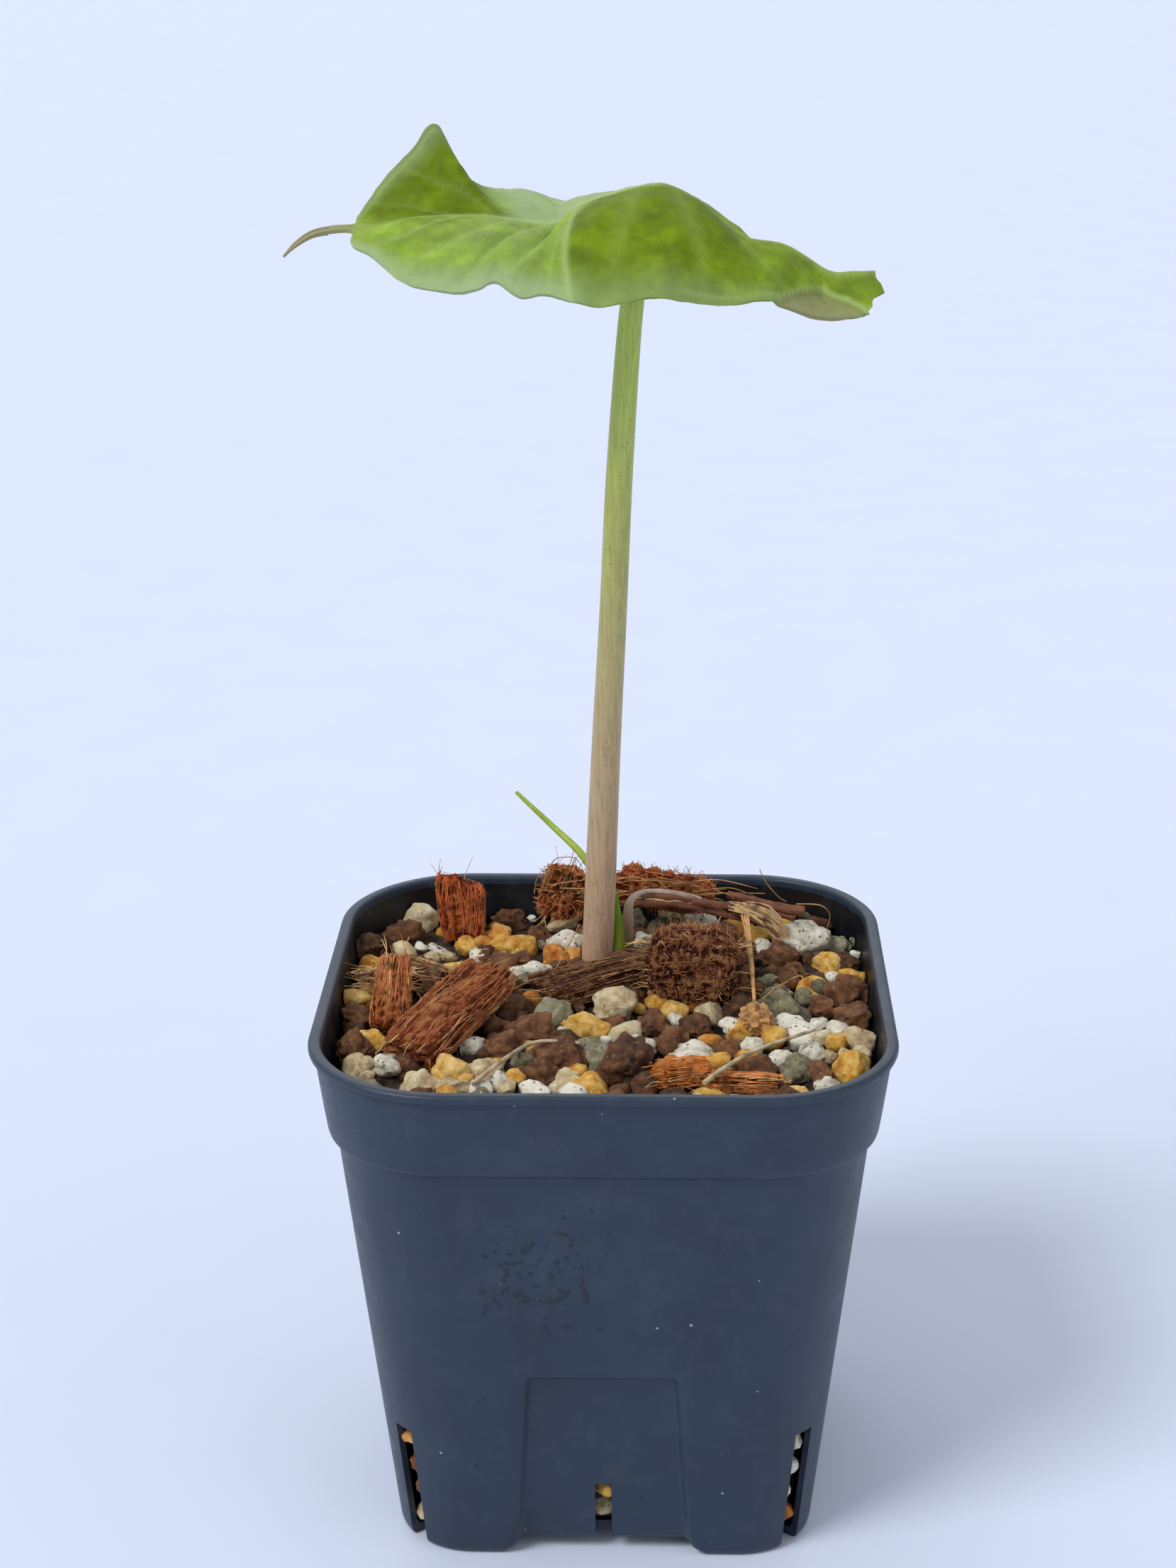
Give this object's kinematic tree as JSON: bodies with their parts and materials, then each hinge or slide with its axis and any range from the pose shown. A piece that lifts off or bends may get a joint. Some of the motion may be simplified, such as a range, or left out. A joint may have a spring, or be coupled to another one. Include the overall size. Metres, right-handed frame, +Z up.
{
  "type": "potted alocasia amazonica",
  "caption": "Young aroid house plant with one arrow-shaped drooping leaf on a tall stem, in a square slit nursery pot filled with mixed grains and coir chips.",
  "frame": {"origin": "on the ground under the middle of the whole object's box", "axes": "+Z up along the pot, -Y towards the viewer of the picture, -X towards the leaf's drip tip"},
  "size_m": [0.0938, 0.09, 0.2174],
  "materials": {
    "pot_plastic": "satin slate-black moulded plastic with faint dust",
    "grains": "rough porous grains in brown, yellow, cream, white and grey",
    "leaf": "soft satin young leaf, pale veins",
    "stem": "smooth stem, grey-pink at the foot to yellow-green at the top",
    "root": "rough brown corm and roots",
    "shoot": "smooth yellow-green shoot",
    "dry_sheath": "papery dry sheath",
    "husk": "fibrous red-brown coir husk",
    "straw": "dry straw-coloured fibre"
  },
  "bodies": {
    "root": {"pot": "pot_plastic", "potting_mix": "grains", "leaf_blade": "leaf", "petiole": "stem", "corm_and_roots": "root", "inner_shoot": "shoot", "back_shoot": "shoot", "dry_sheath": "dry_sheath", "stick_bundle": "straw", "root_strand": "straw", "chip_standing": "husk", "chip_big": "husk", "chip_left": "husk", "chip_fibrous": "husk", "chip_dark": "husk", "chip_wedge": "husk", "chip_block": "husk", "chip_back_left": "husk", "chip_back_right": "husk", "chip_front": "husk", "chip_front_thin": "husk", "twig_right": "straw", "twig_left": "straw"}
  },
  "joints": []
}
